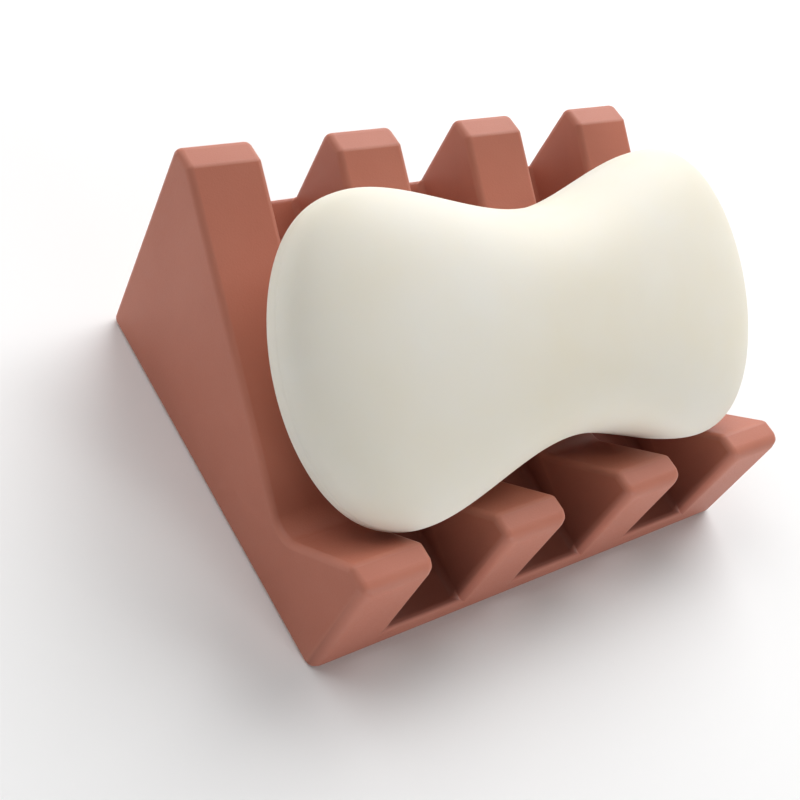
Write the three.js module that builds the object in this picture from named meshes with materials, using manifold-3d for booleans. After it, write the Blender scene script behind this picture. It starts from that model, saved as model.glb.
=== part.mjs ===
// Self-draining soap dish in soft silicone, with the bar of soap that lies on it.
//
// The dish is a single moulding. A floor that falls to the front carries four thick
// ribs, and seen from the side each rib is a lopsided V: a short steep slope behind a
// low front crest, and a long gentle slope up to a tall back crest. The bar lies on its
// broad face in that V. Between the ribs three open channels let water run forward
// over a low lip, and they run out at the back as well.
//
// Frame: millimetres, +X along the row of ribs, +Y towards the tall back, +Z up.
// The origin is the centre of the flat underside.

import * as THREE from 'three';
import { mergeVertices } from 'three/addons/utils/BufferGeometryUtils.js';
import Module from 'manifold-3d';

// ---- Driving dimensions of the dish (mm) ----

const dishLength = 110; // X, over the outer faces of the two end ribs
const dishDepth = 81.2; // Y, front face to back face, at the base
const backHeight = 46; // top of the back crest
const frontHeight = 27.4; // top of the front crest
const ribCount = 4;
const ribWidth = 15.6; // X, at the base of a rib
const backSlope = THREE.MathUtils.degToRad(30.8); // long slope that carries the bar
const frontSlope = THREE.MathUtils.degToRad(44.7); // short slope that stops the bar
const backLand = 5.5; // flat top of the back crest, front to back
const frontLand = 5.6; // flat top of the front crest
const draft = 0.004; // every upright wall leans in by this much per mm of height

const lipHeight = 5.8; // front edge of the channel floor
const floorBreakHeight = 8.2; // where the gentle floor turns up into its steep part
const floorBackHeight = 29.2; // back edge of the channel floor

const crestRadius = 1.7; // edges across the crests, seen from the side
const valleyRadius = 5; // bottom of the V
const footRadius = 1.2; // edge round the underside
const lipRadius = 1.4; // front and back edges of the channel floor
const floorBreakRadius = 22; // bend in the channel floor
const ribEdgeRadius = 1.4; // long edges of each rib
const floorSetback = 0.15; // the floor's end faces stand this far behind the ribs' end faces

// ---- How finely the curves are divided ----

const outlineSegments = 5; // along each arc of a side outline
const planSegments = 3; // along each corner of the foot's outline
const edgeSegments = 3; // across each rounded edge
const soapStepsRound = 48;
const soapStepsAlong = 32;
const weldDistance = 1e-4; // corners closer than this are one corner

// ---- Driving dimensions of the bar of soap (mm) ----

const soapHalfLength = 56;
const soapHalfWaist = 21.4; // half the width at the middle
const soapHalfFlare = 57; // the half-width that the flanks open towards
const soapFlareReach = 75.5; // distance from the middle at which that flare would be full
const soapHalfThickness = 16;
const planRoundness = 2; // seen on its broad face: 2 is an ellipse, more is squarer
const sectionRoundness = 2.5; // the same across its thickness
const soapUpSlope = 25.3; // middle of the bar, measured up the back slope from the V
const soapClearance = 0.7; // from the bar's lowest plane to the back slope
const soapShift = -0.9; // X of the middle of the bar
const soapTilt = THREE.MathUtils.degToRad(2.8); // how much steeper than the slope it lies

// ---- Derived places ----

const frontY = -dishDepth / 2;
const backY = dishDepth / 2;
const ribPitch = (dishLength - ribWidth) / (ribCount - 1);

// The two slopes meet at the bottom of the V.
const frontSlopeTop = new THREE.Vector2(frontY + frontLand, frontHeight);
const backSlopeTop = new THREE.Vector2(backY - backLand, backHeight);
const frontFall = Math.tan(frontSlope);
const backRise = Math.tan(backSlope);
const valley = new THREE.Vector2();
valley.x = frontFall * frontSlopeTop.x + backRise * backSlopeTop.x;
valley.x = (valley.x + frontSlopeTop.y - backSlopeTop.y) / (frontFall + backRise);
valley.y = frontSlopeTop.y - frontFall * (valley.x - frontSlopeTop.x);

// The steep part of the channel floor runs parallel to the back slope of the ribs.
const floorBreakY = backY - (floorBackHeight - floorBreakHeight) / backRise;

// ---- Side outlines, drawn with Y across and Z up ----

// Joins straight runs between the corners with an arc of the given radius at each corner.
function roundedOutline(corners) {
	const shape = new THREE.Shape();
	corners.forEach(({ at, radius }, index) => {
		const before = corners[(index + corners.length - 1) % corners.length].at;
		const after = corners[(index + 1) % corners.length].at;
		const toBefore = before.clone().sub(at).normalize();
		const toAfter = after.clone().sub(at).normalize();
		const halfAngle = Math.acos(toBefore.dot(toAfter)) / 2;
		const centre = toBefore.clone().add(toAfter).setLength(radius / Math.sin(halfAngle)).add(at);
		const tangentLength = radius / Math.tan(halfAngle);
		const arcStart = toBefore.clone().multiplyScalar(tangentLength).add(at).sub(centre);
		const arcEnd = toAfter.clone().multiplyScalar(tangentLength).add(at).sub(centre);
		const turnsClockwise = arcStart.cross(arcEnd) < 0;
		shape.absarc(centre.x, centre.y, radius, arcStart.angle(), arcEnd.angle(), turnsClockwise);
	});
	shape.closePath();
	return shape;
}

function corner(y, z, radius) {
	return { at: new THREE.Vector2(y, z), radius };
}

// Both outlines run anticlockwise from the front foot. They start below the underside,
// where the joined solid is trimmed flat in one cut.
const trimAllowance = 4;

const ribOutline = roundedOutline([
	corner(frontY - draft * trimAllowance, -trimAllowance, crestRadius),
	corner(backY + draft * trimAllowance, -trimAllowance, crestRadius),
	corner(backY - draft * backHeight, backHeight, crestRadius),
	corner(backSlopeTop.x, backSlopeTop.y, crestRadius),
	corner(valley.x, valley.y, valleyRadius),
	corner(frontSlopeTop.x, frontSlopeTop.y, crestRadius),
	corner(frontY + draft * frontHeight, frontHeight, crestRadius),
]);

const floorOutline = roundedOutline([
	corner(frontY + floorSetback, -trimAllowance, lipRadius),
	corner(backY - floorSetback, -trimAllowance, lipRadius),
	corner(backY - floorSetback - draft * floorBackHeight, floorBackHeight, lipRadius),
	corner(floorBreakY, floorBreakHeight, floorBreakRadius),
	corner(frontY + floorSetback + draft * lipHeight, lipHeight, lipRadius),
]);

// ---- Solids ----

const sideToWorld = new THREE.Matrix4().makeBasis(
	new THREE.Vector3(0, 1, 0),
	new THREE.Vector3(0, 0, 1),
	new THREE.Vector3(1, 0, 0),
);

// One rib, standing on z = 0 with its middle at the given X and its long edges rounded.
function ribGeometry(centreX) {
	const geometry = new THREE.ExtrudeGeometry(ribOutline, {
		depth: ribWidth - 2 * ribEdgeRadius,
		curveSegments: outlineSegments,
		bevelThickness: ribEdgeRadius,
		bevelSize: ribEdgeRadius,
		bevelOffset: -ribEdgeRadius,
		bevelSegments: edgeSegments,
	});
	geometry.translate(0, 0, ribEdgeRadius - ribWidth / 2);
	geometry.applyMatrix4(sideToWorld);
	const position = geometry.attributes.position;
	for (let i = 0; i < position.count; i++) {
		const narrowing = 1 - (draft * position.getZ(i)) / (ribWidth / 2);
		position.setX(i, centreX + position.getX(i) * narrowing);
	}
	return geometry;
}

// The floor reaches from the middle of one end rib to the middle of the other.
function floorGeometry() {
	const depth = dishLength - ribWidth;
	const geometry = new THREE.ExtrudeGeometry(floorOutline, {
		depth,
		curveSegments: outlineSegments,
		bevelEnabled: false,
	});
	geometry.translate(0, 0, -depth / 2);
	geometry.applyMatrix4(sideToWorld);
	return geometry;
}

// A block a little larger than the dish, with a flat underside and a rounded lower edge.
function footTrimGeometry() {
	const margin = 0.2;
	const cornerRadius = footRadius + 2.5 * margin;
	const halfX = dishLength / 2 + margin;
	const halfY = dishDepth / 2 + margin;
	const plan = roundedOutline([
		corner(-halfX, -halfY, cornerRadius),
		corner(halfX, -halfY, cornerRadius),
		corner(halfX, halfY, cornerRadius),
		corner(-halfX, halfY, cornerRadius),
	]);
	const geometry = new THREE.ExtrudeGeometry(plan, {
		depth: backHeight,
		curveSegments: planSegments,
		bevelThickness: footRadius,
		bevelSize: footRadius,
		bevelOffset: -footRadius,
		bevelSegments: edgeSegments,
	});
	geometry.translate(0, 0, footRadius);
	return geometry;
}

// A ball of rounded-box section, stretched to the bar's size and drawn in at the waist.
function soapGeometry() {
	const geometry = new THREE.SphereGeometry(1, soapStepsRound, soapStepsAlong);
	geometry.rotateZ(Math.PI / 2);
	const position = geometry.attributes.position;
	const point = new THREE.Vector3();
	for (let i = 0; i < position.count; i++) {
		point.fromBufferAttribute(position, i);
		const inPlan = Math.abs(point.x) ** planRoundness + Math.abs(point.y) ** planRoundness;
		const planReach = inPlan ** (sectionRoundness / planRoundness);
		const inSection = planReach + Math.abs(point.z) ** sectionRoundness;
		point.divideScalar(inSection ** (1 / sectionRoundness));
		const x = point.x * soapHalfLength;
		const flare = (1 - Math.cos((Math.PI * x) / soapFlareReach)) / 2;
		const halfWidth = soapHalfWaist + (soapHalfFlare - soapHalfWaist) * flare;
		position.setXYZ(i, x, point.y * halfWidth, point.z * soapHalfThickness);
	}
	geometry.computeVertexNormals();
	return geometry;
}

const wasm = await Module();
wasm.setup();

function toManifold(geometry) {
	const bare = geometry.clone();
	bare.deleteAttribute('normal');
	bare.deleteAttribute('uv');
	const merged = mergeVertices(bare, weldDistance);
	return new wasm.Manifold(
		new wasm.Mesh({
			numProp: 3,
			vertProperties: new Float32Array(merged.attributes.position.array),
			triVerts: new Uint32Array(merged.index.array),
		}),
	);
}

function toGeometry(solid) {
	const mesh = solid.getMesh();
	const geometry = new THREE.BufferGeometry();
	geometry.setAttribute('position', new THREE.BufferAttribute(mesh.vertProperties, 3));
	geometry.setIndex(new THREE.BufferAttribute(mesh.triVerts, 1));
	geometry.computeVertexNormals();
	return geometry;
}

function dishGeometry() {
	let solid = toManifold(floorGeometry());
	for (let i = 0; i < ribCount; i++) {
		solid = solid.add(toManifold(ribGeometry((i - (ribCount - 1) / 2) * ribPitch)));
	}
	return toGeometry(solid.intersect(toManifold(footTrimGeometry())));
}

// ---- The assembly ----

const silicone = new THREE.MeshStandardMaterial({ color: 0xa86a58, roughness: 0.72, metalness: 0 });
const soap = new THREE.MeshStandardMaterial({ color: 0xe0dccf, roughness: 0.42, metalness: 0 });

const model = new THREE.Group();

const dish = new THREE.Mesh(dishGeometry(), silicone);
dish.name = 'soap_dish';
model.add(dish);

// The seat is a frame at the bottom of the V, with its Y axis up the back slope.
const seat = new THREE.Group();
seat.position.set(0, valley.x, valley.y);
seat.rotation.x = backSlope;
model.add(seat);

const bar = new THREE.Mesh(soapGeometry(), soap);
bar.name = 'soap_bar';
bar.position.set(soapShift, soapUpSlope, soapHalfThickness + soapClearance);
bar.rotation.x = soapTilt;
seat.add(bar);

export default model;
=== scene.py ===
# %% [markdown]
# # A silicone soap dish with a bar of soap
# This notebook dresses a two-piece part: a soft terracotta dish with four ribs, and the
# waisted bar of soap that lies in them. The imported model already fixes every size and
# place, so the job here is the finer surface of each piece and the two finishes.

import math

import bmesh
import bpy
from mathutils import Matrix, Vector


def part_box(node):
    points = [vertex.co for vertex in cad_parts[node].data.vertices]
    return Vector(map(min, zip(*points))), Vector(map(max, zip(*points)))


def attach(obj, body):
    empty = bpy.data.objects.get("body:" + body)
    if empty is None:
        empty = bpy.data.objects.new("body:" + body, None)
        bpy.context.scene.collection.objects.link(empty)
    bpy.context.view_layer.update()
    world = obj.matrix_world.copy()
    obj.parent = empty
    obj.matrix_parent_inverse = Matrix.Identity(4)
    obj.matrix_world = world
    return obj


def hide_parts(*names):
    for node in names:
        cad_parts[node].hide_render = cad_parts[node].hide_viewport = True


MM = 0.001

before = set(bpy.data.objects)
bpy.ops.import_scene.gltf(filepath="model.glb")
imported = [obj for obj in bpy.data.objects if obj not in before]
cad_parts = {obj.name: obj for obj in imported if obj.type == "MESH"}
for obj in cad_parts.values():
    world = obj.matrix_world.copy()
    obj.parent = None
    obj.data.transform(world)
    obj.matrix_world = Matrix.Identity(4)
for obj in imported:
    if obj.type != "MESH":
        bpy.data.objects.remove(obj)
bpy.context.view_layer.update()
dish_low, dish_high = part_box("soap_dish")
soap_low, soap_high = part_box("soap_bar")
print("dish is", [round(v / MM, 1) for v in dish_high - dish_low], "mm")
print("bar is", [round(v / MM, 1) for v in soap_high - soap_low], "mm")

# %% [markdown]
# ## The camera
# The dish is looked at from its low front left corner, a little under half way up, with
# the camera rolled so that the row of ribs climbs across the frame. A direction to look
# in and a direction for "up" say that more plainly than three angles would. The small
# lens shift only centres the piece in the frame.

# %% Camera
LENS = 57.3
FRAME_SHIFT = (-0.0095, 0.0654)
NEAREST_SEEN = 10 * MM
CAMERA_PLACE = Vector((-163.5, -95.6, 189.1)) * MM
LOOK = Vector((0.5909, 0.3470, -0.7283)).normalized()
FRAME_UP = Vector((0.2287, 0.7937, 0.5637))

camera_data = bpy.data.cameras.new("camera")
camera = bpy.data.objects.new("camera", camera_data)
bpy.context.collection.objects.link(camera)
bpy.context.scene.camera = camera

camera_data.lens = LENS
camera_data.shift_x, camera_data.shift_y = FRAME_SHIFT
camera_data.clip_start = NEAREST_SEEN
camera.location = CAMERA_PLACE

side = LOOK.cross(FRAME_UP).normalized()
upright = side.cross(LOOK)
camera.rotation_euler = Matrix((side, upright, -LOOK)).transposed().to_euler()
print("camera is", round(camera.location.length / MM), "mm from the middle of the dish")

# %% [markdown]
# ## The room
# A piece with deep channels shows its shape by where the light can't reach. So the room
# is not lit evenly. The key panel stands high behind the dish, where the bar shades the
# channels from it but the crests and slopes catch it. A second one behind on the left and
# a low one in front brighten the upright faces and only graze the channel walls. The world
# is a pale wall all round under a dim ceiling, and the floor throws some light back up.

# %% Floor and light
WHITE = (1, 1, 1, 1)
PALE_GREY = (0.90, 0.90, 0.90, 1)
FLOOR_ROUGHNESS = 0.9
FLOOR_HALF_WIDTH = 1.2
MIDDLE_OF_DISH = Vector((0, 0, 20 * MM))
WALL_BRIGHTNESS = 0.6
CEILING_BRIGHTNESS = 0.1
WALL_TOP, CEILING_START = 0.10, 0.50


def add_floor():
    shape = bmesh.new()
    bmesh.ops.create_grid(shape, x_segments=1, y_segments=1, size=FLOOR_HALF_WIDTH)
    mesh = bpy.data.meshes.new("floor")
    shape.to_mesh(mesh)
    shape.free()
    floor = bpy.data.objects.new("floor", mesh)
    bpy.context.collection.objects.link(floor)
    paint = bpy.data.materials.new("pale_floor")
    paint.use_nodes = True
    surface = paint.node_tree.nodes["Principled BSDF"]
    surface.inputs["Base Color"].default_value = PALE_GREY
    surface.inputs["Roughness"].default_value = FLOOR_ROUGHNESS
    mesh.materials.append(paint)


def add_panel(name, place, width, power):
    """A square soft light that faces the middle of the dish."""
    light = bpy.data.lights.new(name, "AREA")
    light.shape = "SQUARE"
    light.size = width
    light.energy = power
    panel = bpy.data.objects.new(name, light)
    panel.location = place
    towards_dish = MIDDLE_OF_DISH - Vector(place)
    panel.rotation_euler = towards_dish.to_track_quat("-Z", "Y").to_euler()
    panel.visible_camera = False
    bpy.context.collection.objects.link(panel)


add_floor()
add_panel("key_behind", (0.62, 0.50, 0.78), width=1.0, power=14.2)
add_panel("high_left", (-0.36, 0.52, 0.84), width=0.6, power=4.0)
add_panel("low_front", (0.18, -1.16, 0.28), width=0.5, power=5.4)

world = bpy.data.worlds.new("studio")
world.use_nodes = True
sky_nodes, sky_links = world.node_tree.nodes, world.node_tree.links
direction = sky_nodes.new("ShaderNodeTexCoord")
parts = sky_nodes.new("ShaderNodeSeparateXYZ")
fade = sky_nodes.new("ShaderNodeMapRange")
fade.interpolation_type = "SMOOTHSTEP"
fade.inputs["From Min"].default_value = WALL_TOP
fade.inputs["From Max"].default_value = CEILING_START
fade.inputs["To Min"].default_value = WALL_BRIGHTNESS
fade.inputs["To Max"].default_value = CEILING_BRIGHTNESS
sky_links.new(direction.outputs["Generated"], parts.inputs["Vector"])
sky_links.new(parts.outputs["Z"], fade.inputs["Value"])
sky_links.new(fade.outputs["Result"], sky_nodes["Background"].inputs["Strength"])
sky_nodes["Background"].inputs["Color"].default_value = WHITE
bpy.context.scene.world = world
bpy.context.scene.view_settings.view_transform = "Standard"

# %% [markdown]
# ## The dish, first with sharp edges
# The real dish is one casting of silicone. It could be four ribs and a floor pushed into
# each other, but then no edge could be rounded where they meet. So it is pulled out of a
# single block: the block is sliced where its ribs and slopes change, its top is bent to
# the line of the channel floor, and the tops of the ribs are drawn up out of it.

# %% The side lines of the floor and of a rib
dish_size = dish_high - dish_low
front, back = dish_low.y, dish_high.y

RIBS = 4
RIB_WIDTH = 15.6 * MM
FRONT_HEIGHT = 27.4 * MM
BACK_HEIGHT = dish_size.z
FRONT_LAND = 5.6 * MM
BACK_LAND = 5.5 * MM
FRONT_SLOPE = math.tan(math.radians(44.7))
BACK_SLOPE = math.tan(math.radians(30.8))
LIP_HEIGHT = 5.8 * MM
FLOOR_BREAK_HEIGHT = 8.2 * MM
FLOOR_BACK_HEIGHT = 29.2 * MM

land_end = front + FRONT_LAND
back_land_start = back - BACK_LAND
drop_of_slopes = FRONT_SLOPE * land_end + BACK_SLOPE * back_land_start
valley = (FRONT_HEIGHT - BACK_HEIGHT + drop_of_slopes) / (FRONT_SLOPE + BACK_SLOPE)
valley_height = FRONT_HEIGHT - FRONT_SLOPE * (valley - land_end)
floor_break = back - (FLOOR_BACK_HEIGHT - FLOOR_BREAK_HEIGHT) / BACK_SLOPE

RIB_LINE = [
    (front, FRONT_HEIGHT),
    (land_end, FRONT_HEIGHT),
    (valley, valley_height),
    (back_land_start, BACK_HEIGHT),
    (back, BACK_HEIGHT),
]
FLOOR_LINE = [
    (front, LIP_HEIGHT),
    (floor_break, FLOOR_BREAK_HEIGHT),
    (back, FLOOR_BACK_HEIGHT),
]


ROUNDING_ERROR = 0.001 * MM


def height_on(line, y):
    """Height of a side line at the distance y from front to back."""
    for (y0, z0), (y1, z1) in zip(line, line[1:]):
        if y <= y1 + ROUNDING_ERROR:
            return z0 + (z1 - z0) * (y - y0) / (y1 - y0)
    return line[-1][1]


print("the V is", round(valley_height / MM, 1), "mm above the underside")

# %% The block and its ribs
FACES_UP = 0.5
pitch = (dish_size.x - RIB_WIDTH) / (RIBS - 1)
rib_centres = [dish_low.x + RIB_WIDTH / 2 + i * pitch for i in range(RIBS)]


def on_a_rib(x):
    return any(abs(x - centre) < RIB_WIDTH / 2 for centre in rib_centres)


def slice_at(shape, place, normal):
    everything = shape.verts[:] + shape.edges[:] + shape.faces[:]
    bmesh.ops.bisect_plane(shape, geom=everything, plane_co=place, plane_no=normal)


def sharp_dish():
    shape = bmesh.new()
    block = Matrix.Translation((0, 0, LIP_HEIGHT / 2)) @ Matrix.Diagonal(
        (dish_size.x, dish_size.y, LIP_HEIGHT, 1)
    )
    bmesh.ops.create_cube(shape, size=1, matrix=block)
    for centre, next_centre in zip(rib_centres, rib_centres[1:]):
        slice_at(shape, (centre + RIB_WIDTH / 2, 0, 0), (1, 0, 0))
        slice_at(shape, (next_centre - RIB_WIDTH / 2, 0, 0), (1, 0, 0))
    for y in (land_end, valley, floor_break, back_land_start):
        slice_at(shape, (0, y, 0), (0, 1, 0))
    for vert in shape.verts:
        if vert.co.z > LIP_HEIGHT / 2:
            vert.co.z = height_on(FLOOR_LINE, vert.co.y)
    shape.normal_update()
    upper = [face for face in shape.faces if face.normal.z > FACES_UP]
    tops = [face for face in upper if on_a_rib(face.calc_center_median().x)]
    drawn = bmesh.ops.extrude_face_region(shape, geom=tops)
    bmesh.ops.delete(shape, geom=tops, context="FACES")
    for item in drawn["geom"]:
        if isinstance(item, bmesh.types.BMVert):
            item.co.z = height_on(RIB_LINE, item.co.y)
    shape.normal_update()
    return shape


dish_shape = sharp_dish()
print("sharp dish:", len(dish_shape.verts), "vertices,", len(dish_shape.faces), "faces")

# %% [markdown]
# ## Rounding the dish
# Two bends are wide and soft: the bottom of the V in each rib, and the place where the
# channel floor turns up towards the back. They are bevelled first, on their own. After
# that the walls get their draft, the small lean that lets a moulding leave its tool.

# %% Wide bends and draft
VALLEY_RADIUS = 5.0 * MM
VALLEY_SEGMENTS = 10
FLOOR_BREAK_RADIUS = 22.0 * MM
FLOOR_BREAK_SEGMENTS = 8
DRAFT = 0.004
TOUCHING = 0.01 * MM
FLATTEST_TURN_OF_A_BEND = math.radians(1)


def turn_of(edge):
    """Angle that the surface turns through at an edge, positive where it is convex."""
    return edge.calc_face_angle_signed(0)


def edges_across(shape, y, z):
    """The edges that run along X at one distance from front to back and one height."""

    def on_the_line(vert):
        return abs(vert.co.y - y) < TOUCHING and abs(vert.co.z - z) < TOUCHING

    return [edge for edge in shape.edges if all(on_the_line(vert) for vert in edge.verts)]


def soften(shape, edges, radius, segments):
    """Rounds edges that all turn through the same angle."""
    turn = abs(turn_of(edges[0]))
    bmesh.ops.bevel(
        shape,
        geom=edges,
        offset=radius * math.tan(turn / 2),
        offset_type="OFFSET",
        affect="EDGES",
        segments=segments,
        profile=0.5,
        material=-1,
        clamp_overlap=False,
    )


def lean_walls(shape):
    """Leans the upright walls inwards by the draft, more the higher they reach."""
    for vert in shape.verts:
        for centre in rib_centres:
            from_centre = vert.co.x - centre
            if abs(abs(from_centre) - RIB_WIDTH / 2) < TOUCHING:
                vert.co.x -= math.copysign(DRAFT * vert.co.z, from_centre)
                break
        if abs(vert.co.y - front) < TOUCHING:
            vert.co.y += DRAFT * vert.co.z
        elif abs(vert.co.y - back) < TOUCHING:
            vert.co.y -= DRAFT * vert.co.z


valleys = edges_across(dish_shape, valley, valley_height)
soften(dish_shape, valleys, VALLEY_RADIUS, VALLEY_SEGMENTS)
breaks = edges_across(dish_shape, floor_break, FLOOR_BREAK_HEIGHT)
soften(dish_shape, breaks, FLOOR_BREAK_RADIUS, FLOOR_BREAK_SEGMENTS)
lean_walls(dish_shape)
seams = [edge for edge in dish_shape.edges if abs(turn_of(edge)) < FLATTEST_TURN_OF_A_BEND]
bmesh.ops.dissolve_edges(dish_shape, edges=seams, use_verts=True)
print("with its wide bends:", len(dish_shape.verts), "vertices")

# %% [markdown]
# ## The small radii
# All the other edges meet at corners, three or four at a time, and each kind has a radius
# of its own. A Bevel modifier handles that: it reads a weight from every edge, so crests
# can be rounder than the roots of the ribs while the corners between them stay smooth.
# The weight allows for the angle too, because a wide angle needs less width for the same
# radius. The back lip of a channel is the tightest: a wider bevel there would run past its
# neighbours in the corner and fold over itself.

# %% Edge weights
CREST_RADIUS = 1.7 * MM
FRONT_CREST_RADIUS = 2.4 * MM
RIB_EDGE_RADIUS = 1.4 * MM
CORNER_POST_RADIUS = 2.4 * MM
FOOT_RADIUS = 1.2 * MM
ROOT_RADIUS = 1.4 * MM
LIP_RADIUS = 1.4 * MM
BACK_LIP_RADIUS = 0.8 * MM
SHARPEST_TURN_OF_A_BEND = math.radians(14)
FOOT_LEVEL = 0.1 * MM
FRONT_DEPTH = 1 * MM


def radius_for(edge):
    """The radius of a sharp edge, told by where it runs and which way."""
    a, b = (vert.co for vert in edge.verts)
    middle = (a + b) / 2
    across, along, rise = (abs(n) for n in a - b)
    if max(a.z, b.z) < FOOT_LEVEL:
        return FOOT_RADIUS
    if turn_of(edge) < 0:
        return ROOT_RADIUS
    at_the_front = middle.y < front + FRONT_DEPTH
    if across > along + rise:
        if not on_a_rib(middle.x):
            return LIP_RADIUS if at_the_front else BACK_LIP_RADIUS
        return FRONT_CREST_RADIUS if at_the_front else CREST_RADIUS
    return CORNER_POST_RADIUS if at_the_front and rise > across + along else RIB_EDGE_RADIUS


def weigh_edges(shape):
    """Gives each sharp edge its bevel weight and returns the widest bevel in metres."""
    weight = shape.edges.layers.float.new("bevel_weight_edge")
    widths = {}
    for edge in shape.edges:
        turn = turn_of(edge)
        if abs(turn) > SHARPEST_TURN_OF_A_BEND:
            widths[edge] = radius_for(edge) * math.tan(abs(turn) / 2)
    widest = max(widths.values())
    for edge, width in widths.items():
        edge[weight] = width / widest
    return widest, len(widths)


widest, weighed = weigh_edges(dish_shape)
print(weighed, "edges to round, the widest bevel", round(widest / MM, 2), "mm")

# %% Rounded dish
ROUNDED_FACES = 1
BEVEL_SEGMENTS = 6


def object_from(shape, name):
    """Turns a finished bmesh into a smooth object at the origin."""
    mesh = bpy.data.meshes.new(name)
    shape.to_mesh(mesh)
    shape.free()
    for face in mesh.polygons:
        face.use_smooth = True
    piece = bpy.data.objects.new(name, mesh)
    bpy.context.collection.objects.link(piece)
    return piece


def apply_modifiers(piece):
    """Swaps the piece's mesh for the one that its modifiers make."""
    graph = bpy.context.evaluated_depsgraph_get()
    finished = bpy.data.meshes.new_from_object(piece.evaluated_get(graph))
    piece.modifiers.clear()
    piece.data = finished


dish = object_from(dish_shape, "moulded_dish")
# two empty slots, so that the bevel can mark the faces it makes
dish.data.materials.append(None)
dish.data.materials.append(None)
rounding = dish.modifiers.new("small radii", "BEVEL")
rounding.material = ROUNDED_FACES
rounding.limit_method = "WEIGHT"
rounding.width = widest
rounding.segments = BEVEL_SEGMENTS
rounding.use_clamp_overlap = False
rounding.miter_inner = "MITER_SHARP"
apply_modifiers(dish)
print("rounded dish:", len(dish.data.vertices), "vertices")

# %% [markdown]
# ## Notes for the finish
# The finish has to know where the edges and roots run, and only the mesh can tell it. The
# bevel has marked the faces that it made, so a point with nothing but such faces round it
# lies on a rounded edge, or in a root if the surface is hollow there. A second note says
# how much shade is painted on a place. Both are stored at the corners of the faces. The
# last step keeps the large flat faces from taking on the tilt of the bevels beside them.

# %% Edges, roots and shade
CHANNEL_WALL_MARGIN = 0.4 * MM
FULL_CHANNEL_DEPTH = 8 * MM
SHADE_FULL = 2 * MM
SHADE_ENDS = 16 * MM
FRONT_FACE_MARGIN = 1.5 * MM
FOOT_SHADE_TOP = 20 * MM
FOOT_SHADE_SHARE = 0.5
ONLY_LARGE_FACES = 100


def between_0_and_1(value):
    return max(0.0, min(1.0, value))


def shade_at(place):
    """How much shade is painted on a place: 1 deep in a channel under the bar, 0 on top."""
    from_rib = min(abs(place.x - centre) for centre in rib_centres)
    end_wall = abs(place.x) > dish_high.x - RIB_WIDTH / 2
    if end_wall or from_rib < RIB_WIDTH / 2 - CHANNEL_WALL_MARGIN:
        if place.y < front + FRONT_FACE_MARGIN:
            return FOOT_SHADE_SHARE * between_0_and_1(1 - place.z / FOOT_SHADE_TOP)
        return 0.0
    below = (height_on(RIB_LINE, place.y) - place.z) / FULL_CHANNEL_DEPTH
    under_bar = (SHADE_ENDS - place.y) / (SHADE_ENDS - SHADE_FULL)
    return between_0_and_1(below) * between_0_and_1(under_bar)


def note_bends(piece):
    """Stores, for the finish, where edges and roots run and how much shade a place gets."""
    shape = bmesh.new()
    shape.from_mesh(piece.data)
    bend = shape.loops.layers.float.new("bend")
    shade = shape.loops.layers.float.new("shade")
    for face in shape.faces:
        for loop in face.loops:
            loop[shade] = shade_at(loop.vert.co)
            if all(near.material_index == ROUNDED_FACES for near in loop.vert.link_faces):
                turn = sum(turn_of(edge) for edge in loop.vert.link_edges)
                loop[bend] = math.copysign(1, turn)
    for face in shape.faces:
        face.material_index = 0
    shape.to_mesh(piece.data)
    shape.free()


note_bends(dish)
evened = dish.modifiers.new("flat faces stay flat", "WEIGHTED_NORMAL")
evened.weight = ONLY_LARGE_FACES

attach(dish, "dish")
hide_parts("soap_dish")

# %% [markdown]
# ## The bar of soap
# A pressed bar is a pillow with a waist. Any lathe or loft would leave a pole at each end,
# so it starts as a cube whose faces are divided evenly and blown up to a ball. The ball is
# then squared a little across its thickness, stretched to size and drawn in at the waist.

# %% Bar
SOAP_HALF_LENGTH = 56.0 * MM
SOAP_HALF_WAIST = 21.4 * MM
SOAP_HALF_FLARE = 57.0 * MM
SOAP_FLARE_REACH = 75.5 * MM
SOAP_HALF_THICKNESS = 16.0 * MM
PLAN_ROUNDNESS = 2.0
SECTION_ROUNDNESS = 2.5
SOAP_UP_SLOPE = 25.3 * MM
SOAP_CLEARANCE = 0.7 * MM
SOAP_TILT = math.radians(2.8)
SOAP_CUTS = 63


def soap_ball():
    """A ball of evenly divided faces, with no poles."""
    shape = bmesh.new()
    bmesh.ops.create_cube(shape, size=2)
    bmesh.ops.subdivide_edges(shape, edges=shape.edges[:], cuts=SOAP_CUTS, use_grid_fill=True)
    for vert in shape.verts:
        # evens out the spacing: a cube's own grid bunches up towards its corners
        vert.co = Vector([math.tan(c * math.pi / 4) for c in vert.co]).normalized()
    return shape


def bar_point(ball_point):
    """Where a point of the ball lies on the bar."""
    x, y, z = ball_point
    in_plan = abs(x) ** PLAN_ROUNDNESS + abs(y) ** PLAN_ROUNDNESS
    in_section = in_plan ** (SECTION_ROUNDNESS / PLAN_ROUNDNESS) + abs(z) ** SECTION_ROUNDNESS
    point = ball_point / in_section ** (1 / SECTION_ROUNDNESS)
    along = point.x * SOAP_HALF_LENGTH
    flare = (1 - math.cos(math.pi * along / SOAP_FLARE_REACH)) / 2
    half_width = SOAP_HALF_WAIST + (SOAP_HALF_FLARE - SOAP_HALF_WAIST) * flare
    return Vector((along, point.y * half_width, point.z * SOAP_HALF_THICKNESS))


slope = math.atan(BACK_SLOPE)
soap_middle_x = (soap_low.x + soap_high.x) / 2
bottom_of_v = Matrix.Translation((soap_middle_x, valley, valley_height))
seat = bottom_of_v @ Matrix.Rotation(slope, 4, "X")
rest = Matrix.Translation((0, SOAP_UP_SLOPE, SOAP_HALF_THICKNESS + SOAP_CLEARANCE))
soap_place = seat @ rest @ Matrix.Rotation(SOAP_TILT, 4, "X")

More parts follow.
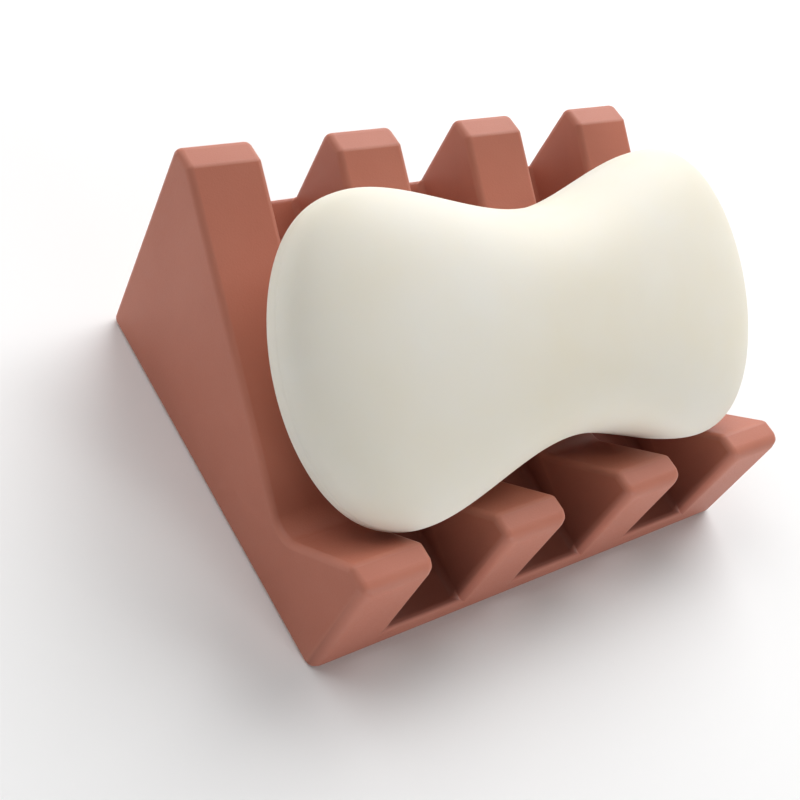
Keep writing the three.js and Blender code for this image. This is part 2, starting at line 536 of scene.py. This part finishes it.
soap_shape = soap_ball()
from_middle = soap_shape.verts.layers.float.new("from_middle")
for vert in soap_shape.verts:
    vert.co = bar_point(vert.co)
    vert[from_middle] = vert.co.z / MM
bmesh.ops.transform(soap_shape, matrix=soap_place, verts=soap_shape.verts)
soap = object_from(soap_shape, "soap")
print("bar:", len(soap.data.polygons), "faces")
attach(soap, "soap")
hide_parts("soap_bar")

# %% [markdown]
# ## Finishes
# Silicone and soap look unlike each other, but two things happen on both: the colour
# drifts a little from place to place, and the skin has a grain that is too fine to see
# and still breaks up the gloss. Each of those is a node group of its own, and each
# material gives it other numbers.

# %% Shared node groups
def new_group(name, inputs, outputs):
    """An empty node group with its sockets: (title, kind, value) in, (title, kind) out."""
    group = bpy.data.node_groups.new(name, "ShaderNodeTree")
    for title, kind, value in inputs:
        socket = group.interface.new_socket(title, in_out="INPUT", socket_type=kind)
        if value is not None:
            socket.default_value = value
    for title, kind in outputs:
        group.interface.new_socket(title, in_out="OUTPUT", socket_type=kind)
    entry = group.nodes.new("NodeGroupInput")
    leave = group.nodes.new("NodeGroupOutput")
    return group, entry, leave


def drifting_tone():
    """Mixes two colours by soft patches, with smaller patches laid over them."""
    group, entry, leave = new_group(
        "drifting_tone",
        [
            ("Position", "NodeSocketVector", None),
            ("Deep", "NodeSocketColor", (0.4, 0.4, 0.4, 1)),
            ("Pale", "NodeSocketColor", (0.6, 0.6, 0.6, 1)),
            ("Patches per metre", "NodeSocketFloat", 40.0),
        ],
        [("Colour", "NodeSocketColor"), ("Patches", "NodeSocketFloat")],
    )
    nodes, links = group.nodes, group.links
    patches = nodes.new("ShaderNodeTexNoise")
    patches.inputs["Detail"].default_value = 3.0
    patches.inputs["Roughness"].default_value = 0.55
    spread = nodes.new("ShaderNodeMapRange")
    spread.inputs["From Min"].default_value = 0.3
    spread.inputs["From Max"].default_value = 0.7
    blend = nodes.new("ShaderNodeMix")
    blend.data_type = "RGBA"
    links.new(entry.outputs["Position"], patches.inputs["Vector"])
    links.new(entry.outputs["Patches per metre"], patches.inputs["Scale"])
    links.new(patches.outputs["Fac"], spread.inputs["Value"])
    links.new(spread.outputs["Result"], blend.inputs["Factor"])
    links.new(entry.outputs["Deep"], blend.inputs["A"])
    links.new(entry.outputs["Pale"], blend.inputs["B"])
    links.new(blend.outputs["Result"], leave.inputs["Colour"])
    links.new(spread.outputs["Result"], leave.inputs["Patches"])
    return group


def skin_grain():
    """A fine tooth on top of a slow, shallow swell."""
    group, entry, leave = new_group(
        "skin_grain",
        [
            ("Position", "NodeSocketVector", None),
            ("Grains per metre", "NodeSocketFloat", 2500.0),
            ("Grain height", "NodeSocketFloat", 0.02 * MM),
            ("Swells per metre", "NodeSocketFloat", 60.0),
            ("Swell height", "NodeSocketFloat", 0.1 * MM),
        ],
        [("Normal", "NodeSocketVector"), ("Grain", "NodeSocketFloat")],
    )
    nodes, links = group.nodes, group.links
    grain = nodes.new("ShaderNodeTexNoise")
    grain.inputs["Detail"].default_value = 4.0
    swell = nodes.new("ShaderNodeTexNoise")
    swell.inputs["Detail"].default_value = 1.0
    tooth = nodes.new("ShaderNodeBump")
    tooth.inputs["Strength"].default_value = 1.0
    wave = nodes.new("ShaderNodeBump")
    wave.inputs["Strength"].default_value = 1.0
    links.new(entry.outputs["Position"], grain.inputs["Vector"])
    links.new(entry.outputs["Grains per metre"], grain.inputs["Scale"])
    links.new(entry.outputs["Position"], swell.inputs["Vector"])
    links.new(entry.outputs["Swells per metre"], swell.inputs["Scale"])
    links.new(swell.outputs["Fac"], wave.inputs["Height"])
    links.new(entry.outputs["Swell height"], wave.inputs["Distance"])
    links.new(grain.outputs["Fac"], tooth.inputs["Height"])
    links.new(entry.outputs["Grain height"], tooth.inputs["Distance"])
    links.new(wave.outputs["Normal"], tooth.inputs["Normal"])
    links.new(tooth.outputs["Normal"], leave.inputs["Normal"])
    links.new(grain.outputs["Fac"], leave.inputs["Grain"])
    return group


tone_group = drifting_tone()
grain_group = skin_grain()


def new_finish(name):
    material = bpy.data.materials.new(name)
    material.use_nodes = True
    nodes, links = material.node_tree.nodes, material.node_tree.links
    return material, nodes, links, nodes["Principled BSDF"]


def add_group(nodes, group, **values):
    """Places a group in a material. An underscore stands for a space in a socket's title."""
    node = nodes.new("ShaderNodeGroup")
    node.node_tree = group
    for title, value in values.items():
        node.inputs[title.replace("_", " ")].default_value = value
    return node


def add_range(nodes, low, high, new_low, new_high):
    """Stretches the range from low to high onto a new one, and clamps what lies outside."""
    node = nodes.new("ShaderNodeMapRange")
    node.inputs["From Min"].default_value = low
    node.inputs["From Max"].default_value = high
    node.inputs["To Min"].default_value = new_low
    node.inputs["To Max"].default_value = new_high
    return node


def add_attribute(nodes, name):
    node = nodes.new("ShaderNodeAttribute")
    node.attribute_name = name
    return node


def add_tint(nodes, tint):
    """Mixes a colour towards a tint, by a mask that is still to be linked."""
    node = nodes.new("ShaderNodeMix")
    node.data_type = "RGBA"
    node.inputs["B"].default_value = tint
    return node


# %% [markdown]
# ### Silicone
# Moulded silicone is matt and looks slightly dusty. The dust is a soft sheen that shows
# at low angles. The rounded edges are painted a paler tone: partly a dusty film that
# fingers lift out of the rubber, partly a painted highlight. The roots of the ribs are
# a little darker with painted shade, and a trace of light travels under the surface.
#
# One tone is not the rubber's own. In the channels under the bar, and less at the foot of
# the front face, the colour is mixed towards a dark brown. That is painted shade: the plain
# studio lights alone leave those places paler than they look in use. It goes by place on
# the dish and stays there when the bar is lifted, so a render with stronger shadows of its
# own would leave it out.

# %% Silicone
TERRACOTTA_DEEP = (0.455, 0.149, 0.094, 1)
TERRACOTTA_PALE = (0.495, 0.172, 0.112, 1)
# paler rounded edges: partly dust, partly a painted highlight
EDGE_HIGHLIGHT_AND_BLOOM_TINT, EDGE_HIGHLIGHT_AND_BLOOM_SHARE = (0.62, 0.34, 0.27, 1), 0.12
# darker roots of the ribs: painted shade
ROOT_SHADE_TINT, ROOT_SHADE_SHARE = (0.26, 0.085, 0.06, 1), 0.35
SHADE_TINT, SHADE_SHARE = (0.115, 0.026, 0.017, 1), 0.7
GRAIN_LOW, GRAIN_HIGH = 0.3, 0.7
SILICONE_ROUGHNESS = (0.42, 0.52)


def silicone_finish():
    material, nodes, links, surface = new_finish("terracotta_silicone")
    place = nodes.new("ShaderNodeTexCoord")
    tone = add_group(
        nodes,
        tone_group,
        Deep=TERRACOTTA_DEEP,
        Pale=TERRACOTTA_PALE,
        Patches_per_metre=45.0,
    )
    grain = add_group(
        nodes,
        grain_group,
        Grains_per_metre=3000.0,
        Grain_height=0.03 * MM,
        Swells_per_metre=70.0,
        Swell_height=0.06 * MM,
    )
    bend = add_attribute(nodes, "bend")
    # paler rounded edges: partly dust, partly a painted highlight
    highlight_and_bloom = add_range(nodes, 0.0, 1.0, 0.0, EDGE_HIGHLIGHT_AND_BLOOM_SHARE)
    # darker roots of the ribs: painted shade
    root = add_range(nodes, 0.0, -1.0, 0.0, ROOT_SHADE_SHARE)
    shade = add_attribute(nodes, "shade")
    # painted shade in the channels under the bar and at the foot of the front face
    painted_shade_amount = add_range(nodes, 0.0, 1.0, 0.0, SHADE_SHARE)
    highlit_and_dusted = add_tint(nodes, EDGE_HIGHLIGHT_AND_BLOOM_TINT)
    root_shaded = add_tint(nodes, ROOT_SHADE_TINT)
    shaded = add_tint(nodes, SHADE_TINT)
    gloss = add_range(nodes, GRAIN_LOW, GRAIN_HIGH, *SILICONE_ROUGHNESS)
    links.new(place.outputs["Object"], tone.inputs["Position"])
    links.new(place.outputs["Object"], grain.inputs["Position"])
    links.new(bend.outputs["Fac"], highlight_and_bloom.inputs["Value"])
    links.new(bend.outputs["Fac"], root.inputs["Value"])
    links.new(highlight_and_bloom.outputs["Result"], highlit_and_dusted.inputs["Factor"])
    links.new(tone.outputs["Colour"], highlit_and_dusted.inputs["A"])
    links.new(root.outputs["Result"], root_shaded.inputs["Factor"])
    links.new(highlit_and_dusted.outputs["Result"], root_shaded.inputs["A"])
    links.new(shade.outputs["Fac"], painted_shade_amount.inputs["Value"])
    links.new(painted_shade_amount.outputs["Result"], shaded.inputs["Factor"])
    links.new(root_shaded.outputs["Result"], shaded.inputs["A"])
    links.new(shaded.outputs["Result"], surface.inputs["Base Color"])
    links.new(grain.outputs["Grain"], gloss.inputs["Value"])
    links.new(gloss.outputs["Result"], surface.inputs["Roughness"])
    links.new(grain.outputs["Normal"], surface.inputs["Normal"])
    surface.inputs["IOR"].default_value = 1.42
    surface.inputs["Specular IOR Level"].default_value = 0.35
    surface.inputs["Subsurface Weight"].default_value = 0.06
    surface.inputs["Subsurface Radius"].default_value = (1.0, 0.4, 0.25)
    surface.inputs["Subsurface Scale"].default_value = 3 * MM
    surface.inputs["Sheen Weight"].default_value = 0.05
    surface.inputs["Sheen Roughness"].default_value = 0.5
    surface.inputs["Sheen Tint"].default_value = (1.0, 0.82, 0.76, 1)
    return material


# %% [markdown]
# ### Soap
# Pressed toilet soap is the opposite: almost no grain, a satin skin and light that goes
# in a few millimetres and comes out again. Its ivory drifts towards yellow in patches.
# The two halves of the press leave one fine seam round the bar's middle.

# %% Soap
IVORY_DEEP = (0.785, 0.735, 0.61, 1)
IVORY_PALE = (0.80, 0.775, 0.705, 1)
SOAP_ROUGHNESS = (0.50, 0.62)
SEAM_HALF_WIDTH_IN_MM = 0.5
SEAM_DEPTH = 0.07 * MM


def soap_finish():
    material, nodes, links, surface = new_finish("ivory_soap")
    place = nodes.new("ShaderNodeTexCoord")
    tone = add_group(
        nodes,
        tone_group,
        Deep=IVORY_DEEP,
        Pale=IVORY_PALE,
        Patches_per_metre=28.0,
    )
    grain = add_group(
        nodes,
        grain_group,
        Grains_per_metre=1500.0,
        Grain_height=0.006 * MM,
        Swells_per_metre=35.0,
        Swell_height=0.18 * MM,
    )
    gloss = add_range(nodes, 0.0, 1.0, *SOAP_ROUGHNESS)
    height = add_attribute(nodes, "from_middle")
    away = nodes.new("ShaderNodeMath")
    away.operation = "ABSOLUTE"
    dip = add_range(nodes, 0.0, SEAM_HALF_WIDTH_IN_MM, -1.0, 0.0)
    dip.interpolation_type = "SMOOTHSTEP"
    seam = nodes.new("ShaderNodeBump")
    seam.inputs["Strength"].default_value = 1.0
    seam.inputs["Distance"].default_value = SEAM_DEPTH
    links.new(place.outputs["Object"], tone.inputs["Position"])
    links.new(place.outputs["Object"], grain.inputs["Position"])
    links.new(tone.outputs["Colour"], surface.inputs["Base Color"])
    links.new(tone.outputs["Patches"], gloss.inputs["Value"])
    links.new(gloss.outputs["Result"], surface.inputs["Roughness"])
    links.new(height.outputs["Fac"], away.inputs[0])
    links.new(away.outputs["Value"], dip.inputs["Value"])
    links.new(dip.outputs["Result"], seam.inputs["Height"])
    links.new(grain.outputs["Normal"], seam.inputs["Normal"])
    links.new(seam.outputs["Normal"], surface.inputs["Normal"])
    surface.inputs["IOR"].default_value = 1.46
    surface.inputs["Subsurface Weight"].default_value = 0.15
    surface.inputs["Subsurface Radius"].default_value = (1.0, 0.8, 0.55)
    surface.inputs["Subsurface Scale"].default_value = 4 * MM
    return material


# %% Dress the pieces
dish.data.materials.clear()
dish.data.materials.append(silicone_finish())
soap.data.materials.append(soap_finish())
